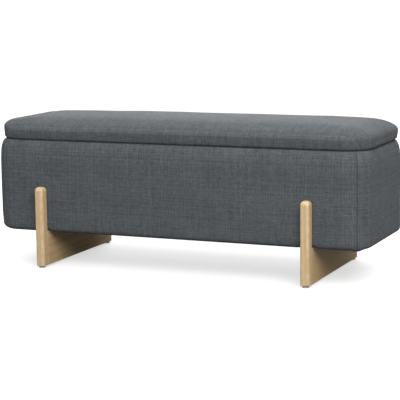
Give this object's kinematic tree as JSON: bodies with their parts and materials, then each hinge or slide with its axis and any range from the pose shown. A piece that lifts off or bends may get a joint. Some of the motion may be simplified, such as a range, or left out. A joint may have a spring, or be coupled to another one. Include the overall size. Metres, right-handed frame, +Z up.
{
  "type": "storage bench",
  "caption": "Upholstered storage bench: a padded box with a hinged, crowned lid, standing on timber leg boards whose posts rise up its front and rear faces.",
  "frame": {"origin": "on the floor, under the middle of the bench", "axes": "+X along the bench to its right-hand end, front towards -Y, +Z up"},
  "size_m": [1.2, 0.46, 0.4599],
  "materials": {
    "upholstery": "charcoal linen-look weave",
    "timber": "clear satin lacquer over pale timber",
    "board": "raw board",
    "foam": "open-cell upholstery foam",
    "black_cloth": "non-woven cloth",
    "zinc_steel": "zinc plated",
    "nylon": "moulded",
    "rubber": "moulded"
  },
  "bodies": {
    "base": {"leg_board_left": "timber", "leg_board_right": "timber", "front_post_left": "timber", "front_post_right": "timber", "rear_post_left": "timber", "rear_post_right": "timber", "leg_dowels": "timber", "leg_inserts": "zinc_steel", "leg_bolts": "zinc_steel", "leg_washers": "zinc_steel", "floor_glides": "nylon", "glide_nails": "zinc_steel", "bottom_panel": "board", "front_panel": "board", "rear_panel": "board", "end_panel_left": "board", "end_panel_right": "board", "corner_posts": "board", "carcass_screws": "zinc_steel", "foam_front": "foam", "foam_rear": "foam", "foam_end_left": "foam", "foam_end_right": "foam", "foam_corners": "foam", "cover_front": "upholstery", "cover_rear": "upholstery", "cover_end_left": "upholstery", "cover_end_right": "upholstery", "dust_cloth": "black_cloth", "well_lining": "black_cloth", "rim_bumpers": "rubber", "hinge_box_leaves": "zinc_steel", "hinge_pins": "zinc_steel", "hinge_box_screws": "zinc_steel", "stay_wall_plates": "zinc_steel", "stay_wall_screws": "zinc_steel", "stay_wall_pivots": "zinc_steel"},
    "lid": {"lid_board": "board", "lid_foam": "foam", "lid_cover": "upholstery", "lid_lining": "black_cloth", "hinge_lid_leaves": "zinc_steel", "hinge_lid_screws": "zinc_steel", "stay_lid_brackets": "zinc_steel", "stay_lid_screws": "zinc_steel", "stay_lid_pivots": "zinc_steel"},
    "stay_lower_left": {"stay_lower_arm_left": "zinc_steel", "stay_knee_pivot_left": "zinc_steel"},
    "stay_upper_left": {"stay_upper_arm_left": "zinc_steel"},
    "stay_lower_right": {"stay_lower_arm_right": "zinc_steel", "stay_knee_pivot_right": "zinc_steel"},
    "stay_upper_right": {"stay_upper_arm_right": "zinc_steel"}
  },
  "joints": [
    {"name": "lid_hinge", "type": "hinge", "parent": "base", "child": "lid", "pos_m": [0, 0.1945, 0.3905], "axis": [-1, 0, 0], "range_deg": [0, 95]},
    {"name": "stay_wall_pivot_left", "type": "hinge", "parent": "base", "child": "stay_lower_left", "pos_m": [-0.55825, 0.05712, 0.33048], "axis": [-1, 0, 0], "range_deg": [0, 95]},
    {"name": "stay_lid_pivot_left", "type": "hinge", "parent": "lid", "child": "stay_upper_left", "pos_m": [-0.55525, 0.04488, 0.38109], "axis": [-1, 0, 0], "range_deg": [-95, 0]},
    {"name": "stay_wall_pivot_right", "type": "hinge", "parent": "base", "child": "stay_lower_right", "pos_m": [0.55825, 0.05712, 0.33048], "axis": [-1, 0, 0], "range_deg": [0, 95]},
    {"name": "stay_lid_pivot_right", "type": "hinge", "parent": "lid", "child": "stay_upper_right", "pos_m": [0.55525, 0.04488, 0.38109], "axis": [-1, 0, 0], "range_deg": [-95, 0]}
  ],
  "couplings": [
    {"joint": "stay_wall_pivot_left", "follows": "lid_hinge", "ratio": 1},
    {"joint": "stay_lid_pivot_left", "follows": "lid_hinge", "ratio": -1},
    {"joint": "stay_wall_pivot_right", "follows": "lid_hinge", "ratio": 1},
    {"joint": "stay_lid_pivot_right", "follows": "lid_hinge", "ratio": -1}
  ]
}
